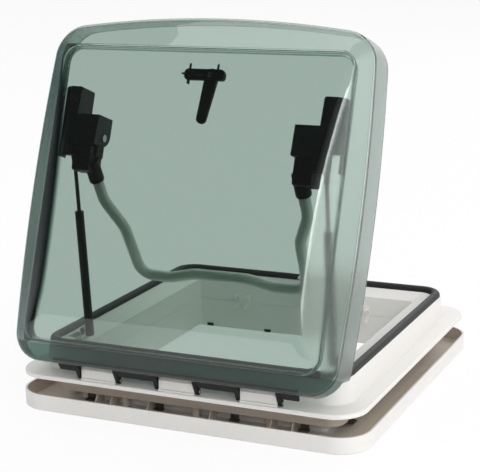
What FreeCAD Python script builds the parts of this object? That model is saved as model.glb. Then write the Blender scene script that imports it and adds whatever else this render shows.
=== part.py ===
import FreeCAD, Part
import math
import os

# Roof skylight for a square cut-out, standing on its inner frame with the dome open.
# Origin: centre of the inner frame's room face. X runs along the hinge, +Y towards the
# opening edge, +Z up through the roof. All sizes in millimetres.

# Inner frame
TRAY_HALF = 240.0
TRAY_HEIGHT = 21.4
TRAY_WALL = 2.8
TRAY_FLOOR = 2.5
CORNER_R = 41.0
OPENING_HALF_X = 172.0
OPENING_NEAR = -178.0
OPENING_FAR = 176.0
OPENING_R = 6.0
LINER_WALL = 2.5
SEAM_Z = 44.0
SEAM_GAP = 0.3
GUSSET_TOP_Z = 16.0
GUSSET_REACH = 24.0
GUSSET_WALL = 2.0
GUSSET_STEPS = (-138.0, -116.0, -62.0, 26.0, 109.0, 138.0)
SCREW_SINK = 2.6

# Roof and outer frame
ROOF_THICKNESS = 23.6
CUTOUT_HALF = 200.0
CUTOUT_GAP = 1.5
FLANGE_THICKNESS = 5.6
FLANGE_HALF_X = 236.0
FLANGE_NEAR = -243.0
FLANGE_FAR = 241.0
SPIGOT_DEPTH = 28.0
FRAME_WALL = 3.0
COLLAR_HALF_X = 212.0
COLLAR_NEAR = -212.0
COLLAR_FAR = 206.0
COLLAR_R = 32.0
COLLAR_DRAFT = 2.5
DECK_Z = 82.0
DECK_WIDTH = 14.0
LEDGE_LOW_Z = 72.0
FRAME_RIB_PITCH = 68.0

# Seal
SEAL_WIDTH = 12.0
SEAL_HEIGHT = 7.7

# Dome
DOME_OPEN_DEG = 69.3
HINGE_Y = -236.5
HINGE_Z = 55.0
SKIN = 3.0
CREASE_Z = 93.0
CREASE_NEAR = -224.5
CREASE_LENGTH = 430.0
CREASE_HALF = 216.7
SIDE_BOW = 8.5
EDGE_BOW = 17.0
DOME_CORNER_R = 34.0
SKIRT_DROP = 38.0
SKIRT_FLARE = 2.5
FRONT_SKIRT_DROP = 22.0
BORDER_RISE = 15.4
BORDER_INSET_NEAR = 23.0
BORDER_INSET_FAR = 23.0
PLATEAU_HALF = 200.0
PLATEAU_R = 22.0
CROWN_RISE = 18.0
CROWN_INSET = 29.0
CROWN_PEAK = 0.225
INNER_SKIN = 2.5
INNER_GAP = 5.0
RIM_INSET = 4.3
INNER_WALL_INSET = 4.0

# Hinge
PIN_R = 2.25
PIN_CLEAR = 0.06
KNUCKLE_R = 4.0
ARM_WIDTH = 5.0
PIN_END = 1.2
LUG_WIDTH = 49.0
LUG_PITCH = 110.5
LUG_SETBACK = 3.0
LUG_TOP_Z = 68.3
LUG_BEVEL = 4.0
LUG_CHAMFER = 7.2
PLINTH_RISE = 2.3
KNUCKLE_GAP = 0.5
BAR_HALF = 164.0
BAR_THICK = 3.5
BAR_HEIGHT = 15.0

# Bail and its boxes
PIVOT_Y = 64.0
PIVOT_Z = 88.0
PIVOT_R = 3.0
BOX_IN_X = 133.0
BOX_SPLIT_X = 164.5
BOX_OUT_X = 192.0
BOX_WALL = 2.0
BOX_DEEP_Z = 72.0
GUIDE_NEAR = 37.0
GUIDE_FAR = 127.0
PIVOT_BOX_NEAR = 53.0
PIVOT_BOX_FAR = 91.0
CHEEK_R = 17.0
BLOCK_NEAR = 19.0
BLOCK_SIDE_GAP = 0.4
BAIL_D = 14.5
BAIL_TILT_DEG = -133.3
BAIL_START_Y = 21.0
BAIL_START_Z = 84.0
BAIL_HALF = 142.0
BAIL_WAIST = 123.0
BAIL_CORNER = 119.0
BAIL_REACH = 167.0
BAIL_WAVE = 10.0
BAIL_TUBE_WALL = 1.5
KNUCKLE_BAIL_R = 12.0

# Latch
LATCH_Y = 149.5
LATCH_BOSS_X = 19.0
FIN_LENGTH = 26.0
FIN_WALL = 1.8
LATCH_BAR_TOP = 97.0
LATCH_BAR_THICK = 5.0
LATCH_PIVOT_X = 8.0
LATCH_PIN_R = 3.0
LEVER_LENGTH = 54.0
LEVER_THICK = 5.0
TONGUE_LENGTH = 18.0
LATCH_GAP = 0.2
CATCH_LIP_REACH = 15.0

# Gas struts
STRUT_X = 172.0
FOOT_Y = -153.0
FOOT_Z = 86.0
FOOT_BALL_R = 4.0
TOP_Y = 38.0
TOP_Z = 88.0
CYLINDER_R = 5.75
CYLINDER_LENGTH = 158.0
CYLINDER_START = 8.0
CYLINDER_WALL = 0.9
GLAND_LENGTH = 7.0
ROD_R = 2.5
ROD_INNER = 152.0
ROD_END_R = 4.2

# Fasteners and small fittings
CLAMP_WIDTH = 11.0
CLAMP_THICK = 2.0
CLAMP_FOOT_Z = 7.0
CLAMP_FOOT_REACH = 5.0
CLAMP_STEPS = (-148.0, -48.0, 58.0, 152.0)
FRAME_SCREW_R = 2.0
POST_R = 5.5
POST_INSET = 7.0
POST_STEPS = (-102.0, 0.0, 102.0)
HOOK_X = 96.0
HOOK_Z = 46.0
CLIP_X = (-153.0, -57.0, 57.0, 153.0)

V = FreeCAD.Vector
UP = V(0, 0, 1)
FLANGE_Z = TRAY_HEIGHT + ROOF_THICKNESS
FLANGE_TOP = FLANGE_Z + FLANGE_THICKNESS
SPIGOT_Z = FLANGE_Z - SPIGOT_DEPTH
CLAMP_TOP = FLANGE_TOP + 8.0
CLAMP_SCREW_Z = SPIGOT_Z + 12.0
PANE_Z = CREASE_Z + BORDER_RISE
GUIDE_ROOF = PANE_Z - 6.0
LEVER_TOP = LATCH_BAR_TOP - LATCH_BAR_THICK - LATCH_GAP
CATCH_LIP_Z = LATCH_BAR_TOP - LATCH_BAR_THICK + 0.5
BORE_R = CYLINDER_R - CYLINDER_WALL
CYLINDER_END = CYLINDER_START + CYLINDER_LENGTH
LEDGE_SLOPE = (DECK_Z - LEDGE_LOW_Z) / (COLLAR_HALF_X - DECK_WIDTH - OPENING_HALF_X)
FAR_LEDGE_SLOPE = (DECK_Z - LEDGE_LOW_Z) / (COLLAR_FAR - DECK_WIDTH - OPENING_FAR)
LUG_CENTRES = (-LUG_PITCH, 0.0, LUG_PITCH)
LUG_FRONT = FLANGE_NEAR + LUG_SETBACK
POCKET = (STRUT_X + 5.0, STRUT_X + 23.0, FOOT_Y - 15.0, FOOT_Y + 15.0)
POCKET_Z = LEDGE_LOW_Z + 2.0
POST_X = OPENING_HALF_X + LINER_WALL + POST_INSET
POST_Y_NEAR = OPENING_NEAR - LINER_WALL - POST_INSET
POST_Y_FAR = OPENING_FAR + LINER_WALL + POST_INSET
POST_PLACES = ([(x, y) for x in POST_STEPS for y in (POST_Y_NEAR, POST_Y_FAR)]
               + [(x, y) for x in (-POST_X, POST_X) for y in POST_STEPS])
SIDES = (("left", -1), ("right", 1))


def rounded(half_x, near, far, z, radius):
    """Closed wire of a rectangle with round corners, at height z."""
    corners = ((half_x - radius, far - radius, 0), (radius - half_x, far - radius, 90),
               (radius - half_x, near + radius, 180), (half_x - radius, near + radius, 270))
    arcs = []
    for cx, cy, start in corners:
        points = []
        for turn in (0, 45, 90):
            angle = math.radians(start + turn)
            points.append(V(cx + radius * math.cos(angle), cy + radius * math.sin(angle), z))
        arcs.append(points)
    edges = []
    for index, points in enumerate(arcs):
        edges.append(Part.Arc(*points).toShape())
        edges.append(Part.LineSegment(points[2], arcs[(index + 1) % 4][0]).toShape())
    return Part.Wire(edges)


def rise_of(wire, height):
    """Upright solid standing on a closed wire."""
    return Part.Face(wire).extrude(V(0, 0, height))


def loft(*wires):
    """Straight-sided solid through closed wires."""
    return Part.makeLoft(list(wires), True, True)


def box(x0, x1, y0, y1, z0, z1):
    return Part.makeBox(x1 - x0, y1 - y0, z1 - z0, V(x0, y0, z0))


def rod_x(x0, x1, y, z, radius):
    return Part.makeCylinder(radius, x1 - x0, V(x0, y, z), V(1, 0, 0))


def rod_y(x, y0, y1, z, radius):
    return Part.makeCylinder(radius, y1 - y0, V(x, y0, z), V(0, 1, 0))


def rod_z(x, y, z0, z1, radius):
    return Part.makeCylinder(radius, z1 - z0, V(x, y, z0))


def side_profile(x0, x1, points):
    """Solid between x0 and x1 with a closed outline given as (y, z) points."""
    corners = [V(x0, y, z) for y, z in points]
    return Part.Face(Part.makePolygon(corners + corners[:1])).extrude(V(x1 - x0, 0, 0))


def plan_profile(z0, z1, points):
    """Upright solid between z0 and z1 with a closed outline given as (x, y) points."""
    corners = [V(x, y, z0) for x, y in points]
    return Part.Face(Part.makePolygon(corners + corners[:1])).extrude(V(0, 0, z1 - z0))


def mirrored(shape):
    """Twin of a right-hand piece on the left."""
    return shape.mirror(V(0, 0, 0), V(1, 0, 0))


def fused(shapes):
    return shapes[0].fuse(shapes[1:]).removeSplitter() if len(shapes) > 1 else shapes[0]


def round_edges(shape, radius, chosen):
    """Round the edges of a shape that a test picks."""
    edges = [edge for edge in shape.Edges if chosen(edge)]
    return shape.makeFillet(radius, edges) if edges else shape


def at_height(z, tolerance=0.01):
    """Test for edges that lie at one height."""
    def chosen(edge):
        bounds = edge.BoundBox
        return abs(bounds.ZMin - z) < tolerance and abs(bounds.ZMax - z) < tolerance
    return chosen


def upright(edge):
    bounds = edge.BoundBox
    return bounds.XLength < 0.01 and bounds.YLength < 0.01


def steps(low, high, pitch):
    """Evenly pitched places between two limits, centred between them."""
    count = int((high - low) // pitch)
    middle = (low + high) / 2
    return [middle + (index - count / 2) * pitch for index in range(count + 1)]


# Frames

def opening_rect(z, grow=0.0):
    """The clear opening through both frames, grown outwards by a wall."""
    return rounded(OPENING_HALF_X + grow, OPENING_NEAR - grow, OPENING_FAR + grow, z,
                   OPENING_R + grow)


def collar_rect(z, inset=0.0):
    """The collar's outline at a height, with its draft, moved inwards by an inset."""
    spread = COLLAR_DRAFT * (DECK_Z - z) / (DECK_Z - FLANGE_TOP) - inset
    return rounded(COLLAR_HALF_X + spread, COLLAR_NEAR - spread, COLLAR_FAR + spread, z,
                   COLLAR_R + spread)


def spigot_rect(z, inset=0.0):
    """The outline that drops into the roof cut-out."""
    half = CUTOUT_HALF - CUTOUT_GAP - inset
    middle = (FLANGE_NEAR + FLANGE_FAR) / 2
    return rounded(half, middle - half, middle + half, z, CORNER_R / 2)


def hinge_lug(centre):
    """A block on the flange that carries a hinge pin, on a low plinth."""
    half = LUG_WIDTH / 2
    back = COLLAR_NEAR + 1.0
    low = FLANGE_TOP - 0.5
    front = LUG_TOP_Z - LUG_CHAMFER
    block = side_profile(centre - half, centre + half, (
        (LUG_FRONT, low), (back, low), (back, LUG_TOP_Z),
        (LUG_FRONT + LUG_BEVEL, LUG_TOP_Z), (LUG_FRONT, LUG_TOP_Z - LUG_BEVEL)))
    corner = Part.makePolygon([
        V(centre + half - LUG_CHAMFER, 2 * FLANGE_NEAR, LUG_TOP_Z),
        V(centre + half + 1, 2 * FLANGE_NEAR, LUG_TOP_Z + 1),
        V(centre + half, 2 * FLANGE_NEAR, front),
        V(centre + half - LUG_CHAMFER, 2 * FLANGE_NEAR, LUG_TOP_Z)])
    block = block.cut(Part.Face(corner).extrude(V(0, 2 * abs(FLANGE_NEAR), 0)))
    plinth = box(centre - half, centre + half, LUG_FRONT - LUG_SETBACK / 2, back, low,
                 FLANGE_TOP + PLINTH_RISE)
    return block.fuse(plinth)


def strut_pocket(grow):
    """Room in the ledge for a strut's foot, on the right."""
    x0, x1, y0, y1 = POCKET
    return box(x0 - grow, x1 + grow, y0 - grow, y1 + grow, POCKET_Z - grow, DECK_Z + 4 * (1 - grow))


def make_outer_frame():
    """Flange, collar, ledge and upper liner wall, moulded as one shell open below."""
    flange = rise_of(rounded(FLANGE_HALF_X, FLANGE_NEAR, FLANGE_FAR, FLANGE_Z, CORNER_R),
                     FLANGE_THICKNESS)
    flange = round_edges(flange, 1.4, at_height(FLANGE_TOP))
    spigot = rise_of(spigot_rect(SPIGOT_Z), SPIGOT_DEPTH + 1.0)
    collar = loft(collar_rect(FLANGE_TOP - 0.5), collar_rect(DECK_Z))
    collar = round_edges(collar, 1.5, at_height(DECK_Z))
    outside = fused([flange, spigot, collar])

    deck_edge = rounded(COLLAR_HALF_X - DECK_WIDTH, COLLAR_NEAR + DECK_WIDTH,
                        COLLAR_FAR - DECK_WIDTH, DECK_Z, COLLAR_R - DECK_WIDTH)
    throat = rise_of(opening_rect(SPIGOT_Z - 1), LEDGE_LOW_Z - SPIGOT_Z + 1)
    funnel = loft(opening_rect(LEDGE_LOW_Z), deck_edge)
    opening = throat.fuse(funnel)

    under_deck = DECK_Z - FRAME_WALL
    ledge_edge = rounded(COLLAR_HALF_X - DECK_WIDTH, COLLAR_NEAR + DECK_WIDTH,
                         COLLAR_FAR - DECK_WIDTH, under_deck, COLLAR_R - DECK_WIDTH)
    wall_top = LEDGE_LOW_Z - LINER_WALL / 2
    core = rise_of(opening_rect(SEAM_Z + SEAM_GAP, LINER_WALL), wall_top - SEAM_Z - SEAM_GAP)
    core = core.fuse(loft(opening_rect(wall_top, LINER_WALL), ledge_edge))
    low_room = rise_of(spigot_rect(SPIGOT_Z - 1, FRAME_WALL), FLANGE_TOP - SPIGOT_Z + 1)
    high_room = loft(collar_rect(FLANGE_TOP, FRAME_WALL), collar_rect(under_deck, FRAME_WALL))
    room = low_room.fuse(high_room).cut(core)

    webs = []
    reach = FLANGE_HALF_X
    for place in steps(-reach + COLLAR_R, reach - COLLAR_R, FRAME_RIB_PITCH):
        half = FRAME_WALL / 2
        webs.append(box(place - half, place + half, -reach, reach, FLANGE_Z + 2, DECK_Z))
        webs.append(box(-reach, reach, place - half, place + half, FLANGE_Z + 2, DECK_Z))
    ribs = fused(webs).common(room)

    frame = outside.cut(opening).cut(room).fuse(ribs)
    pocket_wall = strut_pocket(FRAME_WALL - 0.5).cut(opening)
    frame = frame.fuse([pocket_wall, mirrored(pocket_wall)])
    frame = frame.cut(strut_pocket(0.0)).cut(mirrored(strut_pocket(0.0)))
    frame = frame.fuse([hinge_lug(centre) for centre in LUG_CENTRES])
    frame = frame.fuse([frame_post(x, y) for x, y in POST_PLACES])
    frame = frame.cut(rod_x(-FLANGE_HALF_X, FLANGE_HALF_X, HINGE_Y, HINGE_Z, PIN_R + PIN_CLEAR))
    for x, y in POST_PLACES:
        frame = frame.cut(rod_z(x, y, SPIGOT_Z - 1, LEDGE_LOW_Z - 6, FRAME_SCREW_R))
    return frame.removeSplitter()


def frame_post(x, y):
    """Screw post that hangs from the ledge beside the liner wall."""
    return rod_z(x, y, SEAM_Z + SEAM_GAP, LEDGE_LOW_Z, POST_R)


def make_seal():
    """Rubber bulb on the collar's deck, one endless loop."""
    half = COLLAR_HALF_X - DECK_WIDTH / 2
    near = COLLAR_NEAR + DECK_WIDTH / 2
    path = rounded(half, near, COLLAR_FAR - DECK_WIDTH / 2, DECK_Z, COLLAR_R - DECK_WIDTH / 2)
    lip = SEAL_HEIGHT - SEAL_WIDTH / 2
    start = near
    left, right = start - SEAL_WIDTH / 2, start + SEAL_WIDTH / 2
    edges = [
        Part.LineSegment(V(0, left, DECK_Z), V(0, right, DECK_Z)).toShape(),
        Part.LineSegment(V(0, right, DECK_Z), V(0, right, DECK_Z + lip)).toShape(),
        Part.Arc(V(0, right, DECK_Z + lip), V(0, start, DECK_Z + SEAL_HEIGHT),
                 V(0, left, DECK_Z + lip)).toShape(),
        Part.LineSegment(V(0, left, DECK_Z + lip), V(0, left, DECK_Z)).toShape()]
    return path.makePipeShell([Part.Wire(edges)], True, False)


def tray_channel():
    """The open channel of the inner frame, between its outer wall and its liner."""
    half = TRAY_HALF - TRAY_WALL
    outer = rise_of(rounded(half, -half, half, TRAY_FLOOR, CORNER_R - TRAY_WALL), TRAY_HEIGHT)
    return outer.cut(rise_of(opening_rect(TRAY_FLOOR - 1, LINER_WALL), TRAY_HEIGHT + 2))


def make_gussets():
    """Short ribs that brace the liner against the tray's floor, on all four sides."""
    foot = TRAY_FLOOR - 0.5
    gussets = []
    for turn, wall in ((0, -OPENING_NEAR), (90, OPENING_HALF_X),
                       (180, OPENING_FAR), (270, OPENING_HALF_X)):
        end = wall + LINER_WALL + GUSSET_REACH
        profile = ((-wall - 1, foot), (-wall - 1, GUSSET_TOP_Z), (-end + 6, GUSSET_TOP_Z),
                   (-end, GUSSET_TOP_Z / 2), (-end, foot))
        for step in GUSSET_STEPS:
            gusset = side_profile(step - GUSSET_WALL / 2, step + GUSSET_WALL / 2, profile)
            gusset.rotate(V(0, 0, 0), UP, turn)
            gussets.append(gusset)
    return gussets


def make_inner_frame():
    """Tray that finishes the opening on the room side: floor, walls, gussets and screw posts."""
    shell = rise_of(rounded(TRAY_HALF, -TRAY_HALF, TRAY_HALF, 0, CORNER_R), TRAY_HEIGHT)
    shell = round_edges(shell, 2.0, at_height(0))
    shell = shell.cut(tray_channel())
    liner = rise_of(opening_rect(0, LINER_WALL), SEAM_Z)
    posts = [rod_z(x, y, TRAY_FLOOR - 0.5, SEAM_Z, POST_R) for x, y in POST_PLACES]
    tray = shell.fuse([liner] + make_gussets() + posts)
    tray = tray.cut(rise_of(opening_rect(-1), SEAM_Z + 2))
    for x, y in POST_PLACES:
        tray = tray.cut(rod_z(x, y, -1, SEAM_Z + 1, FRAME_SCREW_R + 0.2))
        tray = tray.cut(rod_z(x, y, -1, SCREW_SINK, 2 * FRAME_SCREW_R + 0.3))
    return tray.removeSplitter()


def make_frame_screws():
    """Screws from the room side, through the inner frame into the outer frame's posts."""
    screws = []
    for x, y in POST_PLACES:
        head = rod_z(x, y, 0.4, SCREW_SINK, 2 * FRAME_SCREW_R)
        slot = box(x - 2.4, x + 2.4, y - 0.5, y + 0.5, 0, 1.4)
        cross = box(x - 0.5, x + 0.5, y - 2.4, y + 2.4, 0, 1.4)
        shank = rod_z(x, y, SCREW_SINK - 0.5, SEAM_Z + 12, FRAME_SCREW_R)
        screws.append(head.cut(slot).cut(cross).fuse(shank).removeSplitter())
    return Part.makeCompound(screws)


def clamp_frames():
    """Places of the clamp brackets: middle point and turn about Z, clockwise from the front."""
    inside = CUTOUT_HALF - CUTOUT_GAP - FRAME_WALL
    middle = (FLANGE_NEAR + FLANGE_FAR) / 2
    places = []
    for turn in (0, 90, 180, 270):
        for step in CLAMP_STEPS:
            places.append((step, -inside, turn, middle))
    return places


def placed_clamp(shape, place):
    """Move a piece modelled on the front wall to a clamp's place."""
    step, wall, turn, middle = place
    moved = shape.copy()
    moved.translate(V(step, wall, 0))
    moved.rotate(V(0, 0, 0), UP, turn)
    moved.translate(V(0, middle, 0))
    return moved


def make_clamp_brackets():
    """Pressed steel angles that hang inside the spigot, to be drawn up against the roof."""
    half = CLAMP_WIDTH / 2
    leg = box(-half, half, 0, CLAMP_THICK, CLAMP_FOOT_Z, CLAMP_TOP)
    foot = box(-half - 1, half + 1, -CLAMP_FOOT_REACH, CLAMP_THICK, CLAMP_FOOT_Z,
               CLAMP_FOOT_Z + CLAMP_THICK)
    bracket = leg.fuse(foot).removeSplitter()
    bracket = bracket.cut(rod_y(0, -1, 4, CLAMP_SCREW_Z, FRAME_SCREW_R + 0.1))
    return Part.makeCompound([placed_clamp(bracket, place) for place in clamp_frames()])


def make_clamp_screws():
    """Screws that fix each clamp bracket to the spigot wall."""
    head = rod_y(0, CLAMP_THICK, CLAMP_THICK + 2.4, CLAMP_SCREW_Z, 3.6)
    head = round_edges(head, 1.0, lambda edge: edge.BoundBox.YMin > CLAMP_THICK + 2)
    shank = rod_y(0, 0.0, CLAMP_THICK + 0.5, CLAMP_SCREW_Z, FRAME_SCREW_R)
    screw = head.fuse(shank).removeSplitter()
    return Part.makeCompound([placed_clamp(screw, place) for place in clamp_frames()])


def make_bail_hook(x):
    """White U-shaped hook on the far wall, for the bail's crossbar."""
    reach = 16.0
    width = 22.0
    plate = box(x - width / 2, x + width / 2, OPENING_FAR - 2.5, OPENING_FAR,
                HOOK_Z - 11, HOOK_Z + 12)
    channel_r = BAIL_D / 2 + 0.5
    jaw = box(x - width / 2, x + width / 2, OPENING_FAR - reach, OPENING_FAR - 1,
              HOOK_Z - channel_r - 2.5, HOOK_Z + channel_r + 2.5)
    channel = rod_x(x - width, x + width, OPENING_FAR - reach + 4, HOOK_Z, channel_r)
    mouth = box(x - width, x + width, OPENING_FAR - reach - 1, OPENING_FAR - reach + 4,
                HOOK_Z - channel_r, HOOK_Z + channel_r - 1.2)
    hook = plate.fuse(jaw).cut(channel).cut(mouth)
    window = box(x - width / 2 + 5, x + width / 2 - 5, OPENING_FAR - reach - 1,
                 OPENING_FAR - 3, HOOK_Z - 20, HOOK_Z + 20)
    return hook.cut(window).removeSplitter()


def make_liner_clips():
    """Small black clips pressed on the far wall's lower edge."""
    clips = []
    for x in CLIP_X:
        body = box(x - 5, x + 5, OPENING_FAR - 2.2, OPENING_FAR, 0.3, 4.6)
        clips.append(round_edges(body, 0.8, lambda edge: edge.BoundBox.YMax < OPENING_FAR - 2))
    return Part.makeCompound(clips)


def make_latch_catch():
    """Bridge on the far ledge, whose lip the latch's tongue passes under."""
    half = 12.0
    wall = OPENING_FAR
    x = LATCH_PIVOT_X
    back = wall + 9.0
    shoulder = CREASE_Z - SKIN - 6.0
    points = ((wall - 4, LEDGE_LOW_Z - 14), (wall, LEDGE_LOW_Z - 14), (wall, LEDGE_LOW_Z),
              (back, LEDGE_LOW_Z + FAR_LEDGE_SLOPE * (back - wall)), (back, shoulder), (wall - 1, shoulder + 3),
              (wall - 1, CATCH_LIP_Z + 3), (wall - CATCH_LIP_REACH, CATCH_LIP_Z + 3),
              (wall - CATCH_LIP_REACH, CATCH_LIP_Z), (wall - 4, CATCH_LIP_Z))
    return side_profile(x - half, x + half, points).removeSplitter()


def make_hinge_pins():
    """One pin through each lug and the arms beside it."""
    half = LUG_WIDTH / 2 + KNUCKLE_GAP + ARM_WIDTH + PIN_END
    pins = []
    for centre in LUG_CENTRES:
        pin = rod_x(centre - half, centre + half, HINGE_Y, HINGE_Z, PIN_R)
        pins.append(round_edges(pin, 0.6, lambda edge: edge.BoundBox.XLength < 0.1))
    return Part.makeCompound(pins)


def make_strut_foot():
    """Steel angle in the right pocket, with the ball stud that the strut turns on."""
    x0, x1, y0, y1 = POCKET
    plate_x = STRUT_X + FOOT_BALL_R + 3.5
    base = box(plate_x, x1 - 1.5, FOOT_Y - 10, FOOT_Y + 10, POCKET_Z, POCKET_Z + 1.8)
    upright_plate = box(plate_x, plate_x + 1.8, FOOT_Y - 10, FOOT_Y + 10, POCKET_Z, FOOT_Z + 6)
    upright_plate = round_edges(upright_plate, 5.0, lambda edge: edge.BoundBox.ZMin > FOOT_Z + 5
                                and edge.BoundBox.YLength < 0.1 and edge.BoundBox.XLength > 1)
    stud = rod_x(STRUT_X, plate_x + 1, FOOT_Y, FOOT_Z, 1.8)
    nut = rod_x(plate_x + 1.5, plate_x + 4.3, FOOT_Y, FOOT_Z, 3.4)
    ball = Part.makeSphere(FOOT_BALL_R)
    ball.rotate(V(0, 0, 0), V(0, 1, 0), 90)
    ball.translate(V(STRUT_X, FOOT_Y, FOOT_Z))
    return fused([base, upright_plate, stud, nut, ball])


# Dome, modelled closed

def bowed_edges(inset, z, flare=0.0):
    """Dome outline at height z: straight at the hinge, bowed on the other three sides."""
    half = CREASE_HALF - inset + flare
    near = CREASE_NEAR + inset - flare
    far = CREASE_NEAR + CREASE_LENGTH - inset + flare
    radius = DOME_CORNER_R - inset + flare
    side_r = ((far - near) ** 2 / 4 + SIDE_BOW ** 2) / (2 * SIDE_BOW)
    side_x = half + SIDE_BOW - side_r
    side_y = (near + far) / 2
    edge_r = (half ** 2 + EDGE_BOW ** 2) / (2 * EDGE_BOW)
    edge_y = far + EDGE_BOW - edge_r

    near_y = near + radius
    near_x = side_x + math.sqrt((side_r - radius) ** 2 - (near_y - side_y) ** 2)
    gap = math.hypot(side_x, edge_y - side_y)
    reach = side_r - radius
    other = edge_r - radius
    along = (reach ** 2 - other ** 2 + gap ** 2) / (2 * gap)
    across = math.sqrt(reach ** 2 - along ** 2)
    ux = -side_x / gap
    uy = (edge_y - side_y) / gap
    far_x = side_x + along * ux - across * uy
    far_y = side_y + along * uy + across * ux
    if far_y < side_y:
        far_x = side_x + along * ux + across * uy
        far_y = side_y + along * uy - across * ux

    def toward(cx, cy, px, py, length):
        scale = length / math.hypot(px - cx, py - cy)
        return cx + (px - cx) * scale, cy + (py - cy) * scale

    side_far = toward(side_x, side_y, far_x, far_y, side_r)
    edge_far = toward(0, edge_y, far_x, far_y, edge_r)
    side_near = toward(side_x, side_y, near_x, near_y, side_r)

    def middle_of(start, end):
        mx = (start[0] + end[0]) / 2
        my = (start[1] + end[1]) / 2
        return mx, my

    far_turn = toward(far_x, far_y, *middle_of(side_far, edge_far), radius)
    near_turn = toward(near_x, near_y, *middle_of(side_near, (near_x, near)), radius)

    def point(pair, side=1):
        return V(side * pair[0], pair[1], z)

    def arc(first, middle, last):
        return Part.Arc(first, middle, last).toShape()

    edge_mid = V(0, far + EDGE_BOW, z)
    side_mid = (half + SIDE_BOW, side_y)
    return Part.Wire([
        arc(point(side_far), point(far_turn), point(edge_far)),
        arc(point(edge_far), edge_mid, point(edge_far, -1)),
        arc(point(edge_far, -1), point(far_turn, -1), point(side_far, -1)),
        arc(point(side_far, -1), point(side_mid, -1), point(side_near, -1)),
        arc(point(side_near, -1), point(near_turn, -1), V(-near_x, near, z)),
        Part.LineSegment(V(-near_x, near, z), V(near_x, near, z)).toShape(),
        arc(V(near_x, near, z), point(near_turn), point(side_near)),
        arc(point(side_near), point(side_mid), point(side_far))])


def plateau_rect(inset, z):
    """The line where the border strip ends and the crown starts."""
    return rounded(PLATEAU_HALF - inset, CREASE_NEAR + BORDER_INSET_NEAR + inset,
                   CREASE_NEAR + CREASE_LENGTH - BORDER_INSET_FAR - inset, z,
                   PLATEAU_R - inset / 2)


def crown_rise(part):
    """Share of the crown's full rise, at a share of the length from the hinge."""
    if part < CROWN_PEAK:
        return math.sin(math.pi / 2 * (part / CROWN_PEAK) ** 0.7)
    return math.cos(math.pi / 2 * ((part - CROWN_PEAK) / (1 - CROWN_PEAK)) ** 1.25)


CROWN_PLACES = (0.0, 0.01, 0.025, 0.05, 0.08, 0.12, 0.17, 0.225, 0.3, 0.38, 0.46, 0.54, 0.62, 0.7,
                0.78, 0.86, 0.93, 0.975, 1.0)


def crown(inset):
    """The raised middle of the dome, highest near the hinge."""
    near = CREASE_NEAR + BORDER_INSET_NEAR + inset
    far = CREASE_NEAR + CREASE_LENGTH - BORDER_INSET_FAR - inset
    base = CREASE_Z + BORDER_RISE - inset
    sections = []
    for part in CROWN_PLACES:
        y = near + part * (far - near)
        edge = min(y - near, far - y, PLATEAU_R)
        corner = PLATEAU_R - math.sqrt(PLATEAU_R ** 2 - (PLATEAU_R - edge) ** 2)
        half = PLATEAU_HALF - inset - corner
        rise = CROWN_RISE * crown_rise(part)
        top = half - CROWN_INSET * crown_rise(part) + corner * crown_rise(part)
        top = min(top, half - 0.1)
        points = [V(half, y, base - 3), V(half, y, base), V(top, y, base + rise + 0.1),
                  V(-top, y, base + rise + 0.1), V(-half, y, base), V(-half, y, base - 3)]
        sections.append(Part.makePolygon(points + points[:1]))
    return Part.makeLoft(sections, True, True)


def dome_body(inset):
    """Solid under the dome's outer surface, moved inwards by an inset."""
    crease = bowed_edges(inset, CREASE_Z - inset)
    border = Part.makeLoft([crease, plateau_rect(inset, CREASE_Z + BORDER_RISE - inset)], True, True)
    return border.fuse(crown(inset))


def skirt_body(inset, low):
    """Solid inside the dome's skirt, down to a height."""
    flare = SKIRT_FLARE * (CREASE_Z - low) / SKIRT_DROP
    lower = bowed_edges(inset, low, flare)
    upper = bowed_edges(inset, CREASE_Z - inset, SKIRT_FLARE * inset / SKIRT_DROP)
    return Part.makeLoft([lower, upper], True, True)


def make_dome_outer():
    """Outer pane: skirt, border strip and crown, thermoformed from one sheet."""
    low = CREASE_Z - SKIRT_DROP
    outside = Part.makeLoft([bowed_edges(0, low, SKIRT_FLARE), bowed_edges(0, CREASE_Z)], True, True)
    pane = outside.fuse(dome_body(0.0))
    pane = pane.cut(skirt_body(SKIN, low - 1)).cut(dome_body(SKIN))
    front = box(-2 * CREASE_HALF, 2 * CREASE_HALF, 2 * CREASE_NEAR, CREASE_NEAR + 22,
                0, CREASE_Z - FRONT_SKIRT_DROP)
    return pane.cut(front).removeSplitter()


def inner_prism(inset, low):
    """Upright solid on the inner pane's plan."""
    return rise_of(plateau_rect(INNER_WALL_INSET + inset, low), CREASE_Z)


def make_dome_inner(outer):
    """Inner pane: flat rim that lands on the seal, upright wall and crown."""
    rim_z = CREASE_Z - SKIN
    rim = rise_of(bowed_edges(RIM_INSET, rim_z), INNER_SKIN)
    drop = SKIN + INNER_GAP
    high = dome_body(drop).common(inner_prism(0.0, rim_z))
    high = high.fuse(inner_prism(0.0, rim_z).common(below(CREASE_Z + BORDER_RISE - drop - 2)))
    room = dome_body(drop + INNER_SKIN).common(inner_prism(INNER_SKIN, rim_z - 1))
    room = room.fuse(inner_prism(INNER_SKIN, rim_z - 1).common(
        below(CREASE_Z + BORDER_RISE - drop - INNER_SKIN - 2)))
    return rim.fuse(high).cut(room).cut(outer).removeSplitter()


def below(z):
    """Everything under a height."""
    reach = 2 * FLANGE_HALF_X
    return box(-reach, reach, -reach, reach, -reach, z)


def inner_room():
    """The hollow under the inner pane, where the boxes and bosses stand."""
    drop = SKIN + INNER_GAP + INNER_SKIN
    return dome_body(drop).fuse(inner_prism(INNER_SKIN, 0.0).common(
        below(CREASE_Z + BORDER_RISE - drop - 2)))


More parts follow.
